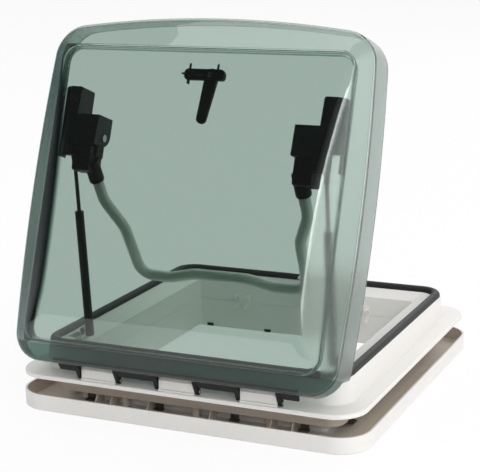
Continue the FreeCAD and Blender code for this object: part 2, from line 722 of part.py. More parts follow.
def make_hinge_bar(outer):
    """Black bar on the front skirt, with an arm down to the pin on each side of every lug."""
    skirt_y = CREASE_NEAR + SKIN
    low = CREASE_Z - FRONT_SKIRT_DROP
    back = skirt_y + BAR_THICK
    pieces = [box(-BAR_HALF, BAR_HALF, skirt_y - 3, back, low - 1, low - 1 + BAR_HEIGHT)]
    for x0, x1 in knuckle_spans():
        pieces.append(side_profile(x0, x1, (
            (HINGE_Y + 4.5, HINGE_Z + 8.5), (HINGE_Y + 7.0, HINGE_Z + 6.5), (back, low + 1),
            (back, low + 4), (skirt_y - 1.5, low + 4))))
    for centre in LUG_CENTRES:
        inner = LUG_WIDTH / 2 + KNUCKLE_GAP
        for x0 in (centre - inner - ARM_WIDTH, centre + inner):
            pieces.append(rod_x(x0, x0 + ARM_WIDTH, HINGE_Y, HINGE_Z, KNUCKLE_R))
            pieces.append(side_profile(x0, x0 + ARM_WIDTH, (
                (HINGE_Y - 3.0, HINGE_Z + 2.6), (HINGE_Y + 3.0, HINGE_Z - 2.6), (back, low + 1),
                (back, low + 4), (skirt_y - 1.5, low + 4))))
    bar = fused(pieces).cut(outer)
    bar = bar.cut(rod_x(-FLANGE_HALF_X, FLANGE_HALF_X, HINGE_Y, HINGE_Z, PIN_R + PIN_CLEAR))
    return max(bar.Solids, key=lambda solid: solid.Volume)


def knuckle_spans():
    """Stretches of the hinge that the bar takes between the lugs, left to right."""
    edges = [-BAR_HALF]
    for centre in LUG_CENTRES:
        edges += [centre - LUG_WIDTH / 2 - KNUCKLE_GAP, centre + LUG_WIDTH / 2 + KNUCKLE_GAP]
    edges.append(BAR_HALF)
    return [(edges[index], edges[index + 1]) for index in range(0, len(edges), 2)]


# Boxes under the inner pane, right-hand side, modelled closed

def above_ledge(gap):
    """Everything that clears the sloping ledge of the closed frame by a gap, on the right."""
    low = BOX_DEEP_Z - 20.0
    start = OPENING_HALF_X - 2.0 * gap
    reach = 40.0
    return Part.Face(Part.makePolygon([
        V(0, GUIDE_NEAR - 5, low), V(start, GUIDE_NEAR - 5, low),
        V(start, GUIDE_NEAR - 5, LEDGE_LOW_Z + gap),
        V(start + reach, GUIDE_NEAR - 5, LEDGE_LOW_Z + gap + reach * LEDGE_SLOPE),
        V(start + reach, GUIDE_NEAR - 5, PANE_Z + 2 * CROWN_RISE),
        V(0, GUIDE_NEAR - 5, PANE_Z + 2 * CROWN_RISE), V(0, GUIDE_NEAR - 5, low)
    ])).extrude(V(0, GUIDE_FAR - GUIDE_NEAR + 10, 0))


def make_guide_box(room):
    """Long box beside the pane's edge, open at its hinge end, that takes the strut's end."""
    block = box(BOX_SPLIT_X, BOX_OUT_X, GUIDE_NEAR, GUIDE_FAR, BOX_DEEP_Z, PANE_Z + CROWN_RISE)
    block = round_edges(block, 3.0, lambda edge: upright(edge) and edge.BoundBox.YMin > GUIDE_FAR - 1)
    block = block.common(above_ledge(1.0))
    hollow = box(BOX_SPLIT_X + BOX_WALL, BOX_OUT_X - BOX_WALL, GUIDE_NEAR - 1,
                 GUIDE_FAR - BOX_WALL, BOX_DEEP_Z + BOX_WALL, GUIDE_ROOF)
    hollow = hollow.common(above_ledge(1.0 + BOX_WALL))
    slot = box(BOX_SPLIT_X + BOX_WALL, BOX_OUT_X - BOX_WALL, GUIDE_NEAR - 1, GUIDE_NEAR + 25,
               BOX_DEEP_Z - 1, GUIDE_ROOF)
    return block.common(room).cut(hollow).cut(slot).removeSplitter()


def make_pivot_box(room):
    """Fork with two cheeks that carries the bail's pivot pin."""
    block = box(BOX_IN_X, BOX_SPLIT_X, PIVOT_BOX_NEAR, PIVOT_BOX_FAR, BOX_DEEP_Z,
                PANE_Z + CROWN_RISE)
    block = round_edges(block, CHEEK_R, lambda edge: at_height(BOX_DEEP_Z)(edge)
                        and edge.BoundBox.YMax < PIVOT_BOX_NEAR + 1)
    hollow = box(BOX_IN_X + BOX_WALL, BOX_SPLIT_X - BOX_WALL, PIVOT_BOX_NEAR - 1,
                 PIVOT_BOX_FAR - BOX_WALL, BOX_DEEP_Z + BOX_WALL, GUIDE_ROOF)
    slot = box(BOX_IN_X + BOX_WALL, BOX_SPLIT_X - BOX_WALL, PIVOT_BOX_NEAR - 1,
               PIVOT_Y + CHEEK_R, BOX_DEEP_Z - 1, GUIDE_ROOF)
    fork = block.common(room).cut(hollow).cut(slot)
    fork = fork.cut(rod_x(BOX_IN_X - 1, BOX_SPLIT_X + 1, PIVOT_Y, PIVOT_Z, PIVOT_R))
    return fork.removeSplitter()


def make_pivot_pin():
    """Headed pin through the cheeks and the bail's knuckle."""
    pin = rod_x(BOX_IN_X, BOX_SPLIT_X - 0.2, PIVOT_Y, PIVOT_Z, PIVOT_R)
    head = rod_x(BOX_IN_X - 1.6, BOX_IN_X, PIVOT_Y, PIVOT_Z, PIVOT_R + 2)
    head = round_edges(head, 0.8, lambda edge: edge.BoundBox.XMax < BOX_IN_X - 1)
    return head.fuse(pin).removeSplitter()


BOX_SCREWS = ((BOX_SPLIT_X + 3.7, GUIDE_FAR - 12.0),
              ((BOX_IN_X + BOX_SPLIT_X) / 2, PIVOT_BOX_FAR - 5.5))


def make_box_screws():
    """Screws that hold the boxes up against the inner pane's underside."""
    screws = []
    for x, y in BOX_SCREWS:
        head = rod_z(x, y, BOX_DEEP_Z - 1.6, BOX_DEEP_Z, 3.0)
        head = round_edges(head, 0.8, at_height(BOX_DEEP_Z - 1.6))
        slot = box(x - 2, x + 2, y - 0.4, y + 0.4, BOX_DEEP_Z - 2, BOX_DEEP_Z - 0.9)
        shank = rod_z(x, y, BOX_DEEP_Z - 0.5, GUIDE_ROOF - 4, 1.6)
        screws.append(head.cut(slot).fuse(shank).removeSplitter())
    return screws


# Bail, modelled closed

def bail_direction():
    angle = math.radians(BAIL_TILT_DEG)
    return V(0, math.cos(angle), math.sin(angle))


def bail_points():
    """Bend points of the bail's tube, from the right-hand block to the left-hand one."""
    right = ((BAIL_HALF, -15.0, 0.0), (BAIL_HALF - 0.5, 45.0, 45.0), (BAIL_WAIST, 88.0, 45.0),
             (BAIL_CORNER, BAIL_REACH, 20.0), (75.0, BAIL_REACH + 1, 40.0),
             (38.0, BAIL_REACH + 1 - BAIL_WAVE, 40.0))
    left = [(-x, along, radius) for x, along, radius in reversed(right)]
    return list(right) + left


def bail_path(points):
    """Wire through bend points with round bends, in the bail's plane."""
    start = V(0, BAIL_START_Y, BAIL_START_Z)
    along = bail_direction()
    spots = [start + along * t + V(x, 0, 0) for x, t, radius in points]
    edges = []
    last = spots[0]
    for index in range(1, len(spots) - 1):
        back = (spots[index - 1] - spots[index]).normalize()
        ahead = (spots[index + 1] - spots[index]).normalize()
        half = (math.pi - back.getAngle(ahead)) / 2
        radius = points[index][2]
        run = radius * math.tan(half)
        first = spots[index] + back * run
        second = spots[index] + ahead * run
        inward = (back + ahead).normalize()
        middle = spots[index] + inward * (radius / math.cos(half) - radius)
        edges.append(Part.LineSegment(last, first).toShape())
        edges.append(Part.Arc(first, middle, second).toShape())
        last = second
    edges.append(Part.LineSegment(last, spots[-1]).toShape())
    return Part.Wire(edges)


def bail_pipe(radius):
    """Round bar along the bail's path."""
    path = bail_path(bail_points())
    start = V(BAIL_HALF, BAIL_START_Y, BAIL_START_Z) + bail_direction() * bail_points()[0][1]
    ahead = path.Edges[0].tangentAt(path.Edges[0].FirstParameter)
    ring = Part.Wire(Part.makeCircle(radius, start, ahead))
    return path.makePipeShell([ring], True, False)


def make_bail_tube():
    """Bent tube that the hand pulls."""
    return bail_pipe(BAIL_D / 2).cut(bail_pipe(BAIL_D / 2 - BAIL_TUBE_WALL))


def make_bail_block(tube_bar):
    """End block of the bail: knuckle between the cheeks and socket around the tube."""
    x0 = BOX_IN_X + BOX_WALL + BLOCK_SIDE_GAP
    x1 = BOX_SPLIT_X - BOX_WALL - BLOCK_SIDE_GAP
    top = PIVOT_Z + 20.0
    body = box(BAIL_HALF - 4, x1, BLOCK_NEAR, PIVOT_BOX_NEAR - 2, PIVOT_Z - 10, top)
    body = round_edges(body, 4.0, lambda edge: edge.BoundBox.XLength > 5
                       and edge.BoundBox.YMax < BLOCK_NEAR + 1)
    arm = box(x0, x1, PIVOT_BOX_NEAR - 14, PIVOT_Y, PIVOT_Z - 8, PIVOT_Z + 9)
    knuckle = rod_x(x0, x1, PIVOT_Y, PIVOT_Z, KNUCKLE_BAIL_R)
    start = V(BAIL_HALF, BAIL_START_Y, BAIL_START_Z)
    along = bail_direction()
    socket = Part.makeCylinder(BAIL_D / 2 + 2.5, 30, start - along * 18, along)
    block = fused([body, arm, knuckle, socket])
    block = block.cut(box(0, 2 * BAIL_HALF, -200, 200, top, top + 60))
    block = block.cut(tube_bar)
    return block.cut(rod_x(x0 - 1, x1 + 1, PIVOT_Y, PIVOT_Z, PIVOT_R + PIN_CLEAR))


# Latch, modelled closed

def make_latch_base(room):
    """Two cross-finned bosses on the inner pane, joined by the bar that carries the lever."""
    half = FIN_LENGTH / 2
    pieces = []
    for x in (-LATCH_BOSS_X, LATCH_BOSS_X):
        core = rod_z(x, LATCH_Y, LATCH_BAR_TOP - 1, PANE_Z + CROWN_RISE, 5.0)
        fin = box(x - FIN_WALL / 2, x + FIN_WALL / 2, LATCH_Y - half, LATCH_Y + half,
                  LATCH_BAR_TOP, PANE_Z + CROWN_RISE)
        cross = box(x - 10, x + 10, LATCH_Y - FIN_WALL / 2, LATCH_Y + FIN_WALL / 2,
                    LATCH_BAR_TOP, PANE_Z + CROWN_RISE)
        pieces += [core, fin, cross]
    bar = box(-LATCH_BOSS_X - 8, LATCH_BOSS_X + 8, LATCH_Y - 7, LATCH_Y + 7,
              LATCH_BAR_TOP - LATCH_BAR_THICK, LATCH_BAR_TOP)
    bar = round_edges(bar, 5.0, upright)
    base = fused(pieces + [bar]).common(room)
    return base.cut(rod_z(LATCH_PIVOT_X, LATCH_Y, 0, LATCH_BAR_TOP + 1, LATCH_PIN_R)).removeSplitter()


def make_latch_pin():
    """Shouldered rivet that the latch lever turns on."""
    low = LEVER_TOP - LEVER_THICK
    shank = rod_z(LATCH_PIVOT_X, LATCH_Y, low - 1, LATCH_BAR_TOP, LATCH_PIN_R)
    head = rod_z(LATCH_PIVOT_X, LATCH_Y, low - 2.2, low - LATCH_GAP, LATCH_PIN_R + 3)
    head = round_edges(head, 0.9, at_height(low - 2.2))
    return head.fuse(shank).removeSplitter()


def make_latch_lever():
    """Flat lever with a rounded tip and a tongue that passes under the catch."""
    low = LEVER_TOP - LEVER_THICK
    tip = V(LATCH_PIVOT_X - 7.0, LATCH_Y - LEVER_LENGTH, low)
    pivot = V(LATCH_PIVOT_X, LATCH_Y, low)
    root_r = 9.0
    tip_r = 6.5
    root = Part.makeCylinder(root_r, LEVER_THICK, pivot)
    end = Part.makeCylinder(tip_r, LEVER_THICK, tip)
    along = (tip - pivot).normalize()
    side = V(-along.y, along.x, 0)
    corners = [pivot + side * root_r, tip + side * tip_r, tip - side * tip_r, pivot - side * root_r]
    blade = Part.Face(Part.makePolygon(corners + corners[:1])).extrude(V(0, 0, LEVER_THICK))
    tongue = box(LATCH_PIVOT_X, LATCH_PIVOT_X + TONGUE_LENGTH, LATCH_Y - 6, LATCH_Y + 6,
                 low, LEVER_TOP)
    tongue = round_edges(tongue, 4.0, lambda edge: upright(edge)
                         and edge.BoundBox.XMin > LATCH_PIVOT_X + 1)
    lever = fused([root, end, blade, tongue])
    lever = round_edges(lever, 1.0, at_height(low))
    return lever.cut(rod_z(LATCH_PIVOT_X, LATCH_Y, low - 1, LEVER_TOP + 1, LATCH_PIN_R + PIN_CLEAR))


# Gas struts, modelled upright on their own axis from the foot, then placed at rest

def opened(shape):
    """Swing a piece of the dome from closed to its resting place."""
    turned = shape.copy()
    turned.rotate(V(0, HINGE_Y, HINGE_Z), V(1, 0, 0), DOME_OPEN_DEG)
    return turned


def opened_point(y, z):
    angle = math.radians(DOME_OPEN_DEG)
    dy = y - HINGE_Y
    dz = z - HINGE_Z
    return V(0, HINGE_Y + dy * math.cos(angle) - dz * math.sin(angle),
             HINGE_Z + dy * math.sin(angle) + dz * math.cos(angle))


def on_strut(shape):
    """Set a piece of the strut, modelled along Z from its foot, in its resting place."""
    top = opened_point(TOP_Y, TOP_Z)
    lean = math.degrees(math.atan2(-(top.y - FOOT_Y), top.z - FOOT_Z))
    turned = shape.copy()
    turned.rotate(V(0, 0, 0), V(1, 0, 0), lean)
    turned.translate(V(STRUT_X, FOOT_Y, FOOT_Z))
    return turned


def strut_reach():
    """Length of a strut at rest, between the middles of its two ends."""
    return (opened_point(TOP_Y, TOP_Z) - V(0, FOOT_Y, FOOT_Z)).Length


def strut_pieces():
    """Pieces of the right-hand strut by name."""
    reach = strut_reach()
    outside = rod_z(0, 0, CYLINDER_START, CYLINDER_END, CYLINDER_R)
    outside = round_edges(outside, 1.2, at_height(CYLINDER_END))
    inside = rod_z(0, 0, CYLINDER_START + 2, CYLINDER_END + 1, BORE_R)
    gland = rod_z(0, 0, CYLINDER_END - GLAND_LENGTH, CYLINDER_END, BORE_R)
    gland = gland.cut(rod_z(0, 0, 0, 2 * CYLINDER_END, ROD_R + PIN_CLEAR))
    socket = rod_z(0, 0, -CYLINDER_R, CYLINDER_START, CYLINDER_R)
    ball = Part.makeSphere(FOOT_BALL_R + PIN_CLEAR)
    stud = rod_x(0, 2 * CYLINDER_R, 0, 0, 2.4)
    rod = rod_z(0, 0, ROD_INNER, reach - 2, ROD_R)
    piston = rod_z(0, 0, ROD_INNER, ROD_INNER + 5, BORE_R - PIN_CLEAR)
    top = Part.makeSphere(ROD_END_R, V(0, 0, reach))
    neck = rod_z(0, 0, reach - 12, reach, ROD_R + 1.2)
    thread = rod_z(0, 0, 0, reach - 2, ROD_R)
    return {
        "cylinder": outside.cut(inside),
        "gland": gland,
        "foot_socket": socket.cut(ball).cut(stud).removeSplitter(),
        "rod": rod,
        "piston": piston.cut(rod),
        "rod_end": top.fuse(neck).cut(thread).removeSplitter()}


def make_all():
    """Every piece by node name, in its resting place."""
    outer = make_dome_outer()
    room = inner_room()
    tube_bar = bail_pipe(BAIL_D / 2)
    closed = {
        "dome_outer": outer,
        "dome_inner": make_dome_inner(outer),
        "hinge_bar": make_hinge_bar(outer),
        "bail_tube": make_bail_tube(),
        "latch_base": make_latch_base(room),
        "latch_pin": make_latch_pin(),
        "latch_lever": make_latch_lever()}
    still = {
        "outer_frame": make_outer_frame(),
        "seal": make_seal(),
        "inner_frame": make_inner_frame(),
        "clamp_brackets": make_clamp_brackets(),
        "clamp_screws": make_clamp_screws(),
        "frame_screws": make_frame_screws(),
        "bail_hooks": Part.makeCompound([make_bail_hook(-HOOK_X), make_bail_hook(HOOK_X)]),
        "latch_catch": make_latch_catch(),
        "liner_clips": make_liner_clips(),
        "hinge_pin": make_hinge_pins()}

    guide_box = make_guide_box(room)
    pivot_box = make_pivot_box(room)
    bail_block = make_bail_block(tube_bar)
    box_screws = make_box_screws()
    guide_box = guide_box.cut(box_screws[0])
    pivot_box = pivot_box.cut(box_screws[1])
    pin = make_pivot_pin()
    closed["box_screws"] = Part.makeCompound(box_screws + [mirrored(screw) for screw in box_screws])
    closed["bail_pivot_pins"] = Part.makeCompound([pin, mirrored(pin)])
    sided = {"guide_box": guide_box, "pivot_box": pivot_box, "bail_block": bail_block}
    foot = make_strut_foot()
    struts = strut_pieces()
    for side, sign in SIDES:
        for name, shape in sided.items():
            closed[side + "_" + name] = shape if sign > 0 else mirrored(shape)
        still[side + "_strut_foot"] = foot if sign > 0 else mirrored(foot)
        for name, shape in struts.items():
            placed = on_strut(shape)
            still[side + "_strut_" + name] = placed if sign > 0 else mirrored(placed)

    nodes = dict(still)
    for name, shape in closed.items():
        nodes[name] = opened(shape)
    return nodes


def main():
    os.makedirs("parts", exist_ok=True)
    for name, shape in make_all().items():
        shape.exportStep(os.path.join("parts", name + ".step"))


main()
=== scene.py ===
import math

import bmesh
import bpy
from mathutils import Matrix, Vector


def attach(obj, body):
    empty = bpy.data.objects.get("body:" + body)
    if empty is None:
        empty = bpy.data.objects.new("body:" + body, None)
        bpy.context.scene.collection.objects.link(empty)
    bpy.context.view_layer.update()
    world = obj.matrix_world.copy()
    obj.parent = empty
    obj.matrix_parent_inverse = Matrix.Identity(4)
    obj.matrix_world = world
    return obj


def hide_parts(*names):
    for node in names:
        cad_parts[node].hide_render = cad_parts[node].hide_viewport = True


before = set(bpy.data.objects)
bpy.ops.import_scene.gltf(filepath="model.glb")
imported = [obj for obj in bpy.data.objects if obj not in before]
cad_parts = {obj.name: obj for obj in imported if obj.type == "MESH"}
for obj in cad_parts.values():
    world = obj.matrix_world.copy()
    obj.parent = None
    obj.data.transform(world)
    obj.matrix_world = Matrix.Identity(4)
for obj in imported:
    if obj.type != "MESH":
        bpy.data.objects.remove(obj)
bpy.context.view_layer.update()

bl_info = {
    "name": "Roof Skylight",
    "version": (1, 0, 0),
    "blender": (4, 5, 0),
    "location": "3D View > Sidebar > Skylight",
    "description": "Dresses a caravan roof skylight with smoked panes, plastics and metals",
    "category": "Object",
}

MM = 0.001

# Hinge of the dome, in metres, and how far it stands open at rest
HINGE = Vector((0, -236.5, 55)) * MM
OPEN_ANGLE = math.radians(69.3)
OPENED = (Matrix.Translation(HINGE) @ Matrix.Rotation(OPEN_ANGLE, 4, "X")
          @ Matrix.Translation(-HINGE))

# Crease between the skirt and the border strip, with the bows of its sides and opening edge. All
# sizes of the dome are those of the closed dome, in millimetres.
CREASE_Z = 93.0
CREASE_HALF = 216.7
CREASE_NEAR = -224.5
CREASE_FAR = 205.5
CORNER_R = 34.0
SIDE_BOW = 8.5
EDGE_BOW = 17.0

# Skirt below the crease, less deep beside the hinge
SKIRT_DROP = 38.0
FRONT_DROP = 22.0
FRONT_CUT_Y = -202.5
SKIRT_FLARE = 2.5
SKIRT_SHARES = (0.5, 0.85, 0.95)

# Bend of the crease: the shares of the skirt and of the border strip between which it runs
BEND_FROM = 0.95
BEND_TO = 0.12
BEND_SHARES = (0.02, 0.25, 0.5, 0.75, 0.98)

# Border strip, which rises to the edge of a plateau and ends in a small step: each ring of the
# step's top is given by its inset and by its share of the step left to rise
BORDER_RISE = 15.4
BORDER_SHARES = (0.25, 0.6, 0.9, 0.97)
PLATEAU_HALF = 200.0
PLATEAU_NEAR = -201.5
PLATEAU_FAR = 182.5
PLATEAU_R = 22.0
PLATEAU_LEAST_R = 6.0
STEP_RISE = 1.6
STEP_FOOT_INSET = -0.2
STEP_TOP = ((0.1, 0.6), (0.3, 0.2), (0.8, 0.0))

# Crown on the plateau: its height, the width of its shoulders, the share of the length at which
# it is highest, the powers of its rise and fall, the width of the bend at its shoulders and the
# least bend that is drawn
CROWN_RISE = 18.0
CROWN_INSET = 29.0
CROWN_PEAK = 0.225
RISE_POWER = 0.7
FALL_POWER = 1.25
SHOULDER_BEND = 7.0
LEAST_BEND = 0.01

# Rings of the crown: insets over its shoulders, then shares of the last one towards the middle
SHOULDER_INSETS = (1.5, 4, 7, 11, 15, 19, 23, 26, 29, 32, 36, 42, 50)
CROWN_SHARES = (0.92, 0.83, 0.73, 0.62, 0.5, 0.38, 0.26, 0.14, 0.03)

# Inner pane: flat rim, wall and crown, and the rounded foot and top of the wall as insets from
# the wall with heights over the rim or depths under the top
RIM_Z = 92.5
RIM_INSET = 4.3
INNER_WALL_INSET = 2.5
INNER_EDGE_DROP = 4.9
INNER_RISE = 14.9
WALL_FOOT = ((-1.5, 0.0), (-0.4, 0.4), (0.0, 1.5))
WALL_TOP = ((0.0, 1.6), (0.4, 0.5), (1.2, 0.0))

# Rings of a pane: steps on each corner and each side, and the radius in metres of the circle
# that they start from
CORNER_STEPS = 12
SIDE_STEPS = 26
START_RADIUS = 0.2

# How far the plateau's edge stands from the origin, square to the opened pane, and how far the
# closed dome's Y axis is shifted along the opened pane, in metres
PLATEAU_DISTANCE = ((CREASE_Z + BORDER_RISE) * MM - HINGE.z - HINGE.y * math.sin(OPEN_ANGLE)
                    + HINGE.z * math.cos(OPEN_ANGLE))
CLOSED_SHIFT = HINGE.y * (1 - math.cos(OPEN_ANGLE)) - HINGE.z * math.sin(OPEN_ANGLE)

# Where the outer pane's looks change, each a span in millimetres: the depth under the slope of
# the crown's shoulder, the distances past the plateau's sides and past its whole outline, the
# height over the plateau's edge, and the place along the closed dome. The last three bound the
# painted shade on the crown's shoulders, on the border strip and on the strip beside the hinge
SHOULDER_HAZE = (1.4, 0.3)
BORDER_HAZE = (0.0, 0.5)
CROWN_TINT = (0.8, -0.2)
BORDER_TINT = (-17.4, -13.4)
NEAR_SHADE_STRIP = (-200.0, -203.0)

# How far a face is turned away while its tint deepens, from 0 square on to 1 edge on, and the
# share of that deepening on the skirt. On the outer pane the deepening is painted shade, with a
# little of the longer path through the sheet
BORDER_TURN = (0.42, 0.6)
SHOULDER_TURN = (0.25, 0.4)
INNER_TURN = (0.3, 0.5)
SKIRT_SHARE = 0.35

# Tray, in millimetres: half its width and the radius of its corners
TRAY_HALF = 240.0
TRAY_R = 41.0

# Painted shade in the gap between the two frames, each a span in millimetres: the height at which
# it starts, and the distances from the middle and from the tray's outside between which it lies
GAP_TOP = (41.0, 37.0)
GAP_START = (180.0, 184.0)
GAP_END = (-1.5, -2.5)

# Clouds and grains of the finishes: scale per metre, detail and roughness of each noise
PLASTIC_CLOUD = (14.0, 3.0)
PLASTIC_GRAIN = (1400.0, 2.0)
METAL_CLOUD = (40.0, 4.0, 0.6)
METAL_GRAIN = (900.0, 2.0)
ACRYLIC_CLOUD = (9.0, 2.0)

# How much a cloud changes the roughness, and the share by which it changes the colour
PLASTIC_UNEVEN = 0.12
METAL_UNEVEN = 0.14
PLASTIC_MOTTLE = 0.06
WHITE_MOTTLE = 0.03
METAL_MOTTLE = 0.08

# Shine of the plastics: full, satin and dull
FULL_SHINE = 0.5
SATIN_SHINE = 0.25
DULL_SHINE = 0.12

# Depth of the grain in metres: moulded plastic, drawn or painted metal, and polished rod
PLASTIC_DEPTH = 0.00003
METAL_DEPTH = 0.00001
ROD_DEPTH = 0.000002

# Acrylic: refraction, shine, and the roughness of the clear and of the hazy parts
ACRYLIC_IOR = 1.49
ACRYLIC_SHINE = 0.35
ACRYLIC_ROUGHNESS = 0.01
HAZE_ROUGHNESS = 0.22

# Inner pane's gloss: square on, what it gains edge on, the power of that gain and its roughness
GLOSS_FACING = 0.02
GLOSS_EDGE = 0.5
GLOSS_POWER = 5.0
GLOSS_ROUGHNESS = 0.02

# Camera that sees the object as the photograph does, in millimetres, degrees and pixels
CAMERA_TURN = 24.646
CAMERA_RISE = 13.496
CAMERA_ROLL = -1.133
CAMERA_SHIFT = (21.8, -189.6)
CAMERA_DISTANCE = 1933.0
FOCAL_PIXELS = 1387.4
IMAGE_WIDTH = 480
SENSOR = 36.0

# Wide lamps: place and aim in metres, then shares of the lamp size and of the lamp power
LAMPS = (("key", (4.4, -2.0, 3.6), (0, 0, 0.2), 1.5, 2.15),
         ("fill", (-1.0, -1.8, 5.2), (0, 0, 0.25), 1.0, 0.7),
         ("back", (0.4, 4.2, 3.6), (0, 0, 0.2), 1.0, 1.0))

# Strip lamps that draw bright lines along the dome's ridges: direction from the dome's middle
# and share of the strip power
STRIPS = (("ridge strip", (0.46, -0.74, 0.52), 0.8),
          ("crease strip", (0.992, -0.03, 0.113), 0.5))
STRIP_DISTANCE = 3.0
DOME_MIDDLE = Vector((0, -0.3, 0.25))

# Room: colour and strength of its light, of the plain white behind the object, and of the dark
# half that shows only in shines, which deepens as the view turns from the bright half
ROOM_LIGHT = {"Color": (1.0, 0.99, 0.98, 1), "Strength": 0.62}
WHITE_LIGHT = {"Color": (1, 1, 1, 1), "Strength": 1.0}
DARK_LIGHT = {"Color": (0.9, 0.95, 1.0, 1), "Strength": 0.05}
BRIGHT_WAY = (0.7, 0.7, 0)
DARK_SPAN = {"From Min": -0.1, "From Max": -0.6, "To Min": 0.0, "To Max": 0.95}

# Floor: its height in millimetres, and how much of the plain white shows in it
FLOOR_Z = -0.5
FLOOR_WHITE = 0.88


class Signal:
    """A node's output, on which sums and products add Math nodes."""

    def __init__(self, finish, socket):
        self.finish = finish
        self.socket = socket

    def math(self, operation, first, second):
        return self.finish.node("ShaderNodeMath", {"operation": operation}, {0: first, 1: second})

    def __add__(self, other):
        return self.math("ADD", self, other)

    def __sub__(self, other):
        return self.math("SUBTRACT", self, other)

    def __rsub__(self, other):
        return self.math("SUBTRACT", other, self)

    def __mul__(self, other):
        return self.math("MULTIPLY", self, other)

    def __pow__(self, other):
        return self.math("POWER", self, other)

    def __abs__(self):
        return self.math("ABSOLUTE", self, 0.0)

    def at_least(self, other):
        """The larger of this and another value."""
        return self.math("MAXIMUM", self, other)

    def at_most(self, other):
        """The smaller of this and another value."""
        return self.math("MINIMUM", self, other)

    __radd__ = __add__
    __rmul__ = __mul__


class Finish:
    """A node tree being built, with one method that makes every node."""

    def __init__(self, name, tree=None):
        if tree is None:
            self.material = bpy.data.materials.new(name)
            self.material.use_nodes = True
            tree = self.material.node_tree
        self.tree = tree
        self.tree.nodes.clear()

    def node(self, kind, settings=None, sockets=None, output=0):
        """Make a node: first its settings, then the values or links of its sockets."""
        made = self.tree.nodes.new(kind)
        for key, value in (settings or {}).items():
            setattr(made, key, value)
        for key, value in (sockets or {}).items():
            if isinstance(value, Signal):
                self.tree.links.new(value.socket, made.inputs[key])
            else:
                made.inputs[key].default_value = value
        return Signal(self, made.outputs[output]) if made.outputs else None

    def place(self):
        """The point on the piece, in its own metres."""
        return self.node("ShaderNodeTexCoord", output="Object")

    def parts(self, vector):
        """The X, Y and Z of a vector."""
        return [self.node("ShaderNodeSeparateXYZ", sockets={"Vector": vector}, output=axis)
                for axis in "XYZ"]

    def ramp(self, value, start, end):
        """Rises smoothly from nothing to one between two values."""
        return self.node("ShaderNodeMapRange", {"interpolation_type": "SMOOTHSTEP"}, {
            "Value": value, "From Min": start, "From Max": end})

    def fade(self, value, span):
        """Rises smoothly from nothing to one over a span given in millimetres."""
        start, end = span
        return self.ramp(value, start * MM, end * MM)

    def facing(self):
        """Nothing on a face that is square to the eye, one on a face seen edge on."""
        return self.node("ShaderNodeLayerWeight", sockets={"Blend": 0.5}, output="Facing")

    def noise(self, scale, detail, roughness=0.5):
        return self.node("ShaderNodeTexNoise", sockets={
            "Vector": self.place(), "Scale": scale, "Detail": detail, "Roughness": roughness})

    def blend(self, factor, first, second):
        """Mix two colours."""
        return self.node("ShaderNodeMix", {"data_type": "RGBA"},
                         {0: factor, 6: first, 7: second}, output=2)

    def mottled(self, cloud, colour, share):
        """A colour that a cloud makes a little darker and lighter."""
        return self.blend(cloud, shaded(colour, 1 - share), shaded(colour, 1 + share))

    def bump(self, height, distance):
        return self.node("ShaderNodeBump", sockets={"Height": height, "Distance": distance})

    def mixed(self, factor, first, second):
        """Mix two shaders."""
        return self.node("ShaderNodeMixShader", sockets={0: factor, 1: first, 2: second})

    def surface(self, shader):
        self.node("ShaderNodeOutputMaterial", sockets={"Surface": shader})
        return self.material


def shaded(colour, share):
    """A colour made darker, or lighter where the share is above one."""
    return tuple(min(1.0, channel * share) for channel in colour[:3]) + (1.0,)


def moulded(name, colour, roughness, shine, grain=PLASTIC_DEPTH):
    """Moulded plastic, rubber or paint with a fine grain and slightly uneven colour."""
    finish = Finish(name)
    cloud = finish.noise(*PLASTIC_CLOUD)
    return finish.surface(finish.node("ShaderNodeBsdfPrincipled", sockets={
        "Base Color": finish.mottled(cloud, colour, PLASTIC_MOTTLE),
        "Specular IOR Level": shine,
        "Roughness": cloud * PLASTIC_UNEVEN + (roughness - PLASTIC_UNEVEN / 2),
        "Normal": finish.bump(finish.noise(*PLASTIC_GRAIN), grain)}))


def shade_in_the_gap(finish):
    """One where shade is painted in the gap between the two frames, and nothing elsewhere."""
    x, y, z = finish.parts(finish.place())
    straight = (TRAY_HALF - TRAY_R) * MM  # half the length of a side between its corners
    across = (abs(x) - straight).at_least(0.0)
    along = (abs(y) - straight).at_least(0.0)
    from_outside = (across ** 2.0 + along ** 2.0) ** 0.5 - TRAY_R * MM
    return (finish.fade(z, GAP_TOP) * finish.fade(abs(x).at_least(abs(y)), GAP_START)
            * finish.fade(from_outside, GAP_END))


def white_plastic(name, colour, gap_shade_colour, roughness):
    """White plastic, with a warmer, darker painted shade in the gap between the two frames."""
    finish = Finish(name)
    cloud = finish.noise(*PLASTIC_CLOUD)
    tone = finish.mottled(cloud, colour, WHITE_MOTTLE)
    return finish.surface(finish.node("ShaderNodeBsdfPrincipled", sockets={
        # Painted shade: the gap's warmer, darker colour stands in for the shade between the frames
        "Base Color": finish.blend(shade_in_the_gap(finish), tone, gap_shade_colour),
        "Specular IOR Level": FULL_SHINE,
        "Roughness": cloud * PLASTIC_UNEVEN + (roughness - PLASTIC_UNEVEN / 2),
        "Normal": finish.bump(finish.noise(*PLASTIC_GRAIN), PLASTIC_DEPTH)}))


def metal(name, colour, roughness, grain=METAL_DEPTH, metallic=1.0):
    """Metal, bare or painted, with a fine grain and slightly uneven colour."""
    finish = Finish(name)
    cloud = finish.noise(*METAL_CLOUD)
    return finish.surface(finish.node("ShaderNodeBsdfPrincipled", sockets={
        "Base Color": finish.mottled(cloud, colour, METAL_MOTTLE),
        "Metallic": metallic,
        "Roughness": cloud * METAL_UNEVEN + (roughness - METAL_UNEVEN / 2),
        "Normal": finish.bump(finish.noise(*METAL_GRAIN), grain)}))


def turned_away(finish, span):
    """Rises from nothing to one as a face turns away from the eye."""
    start, end = span
    return finish.ramp(finish.facing(), start, end)


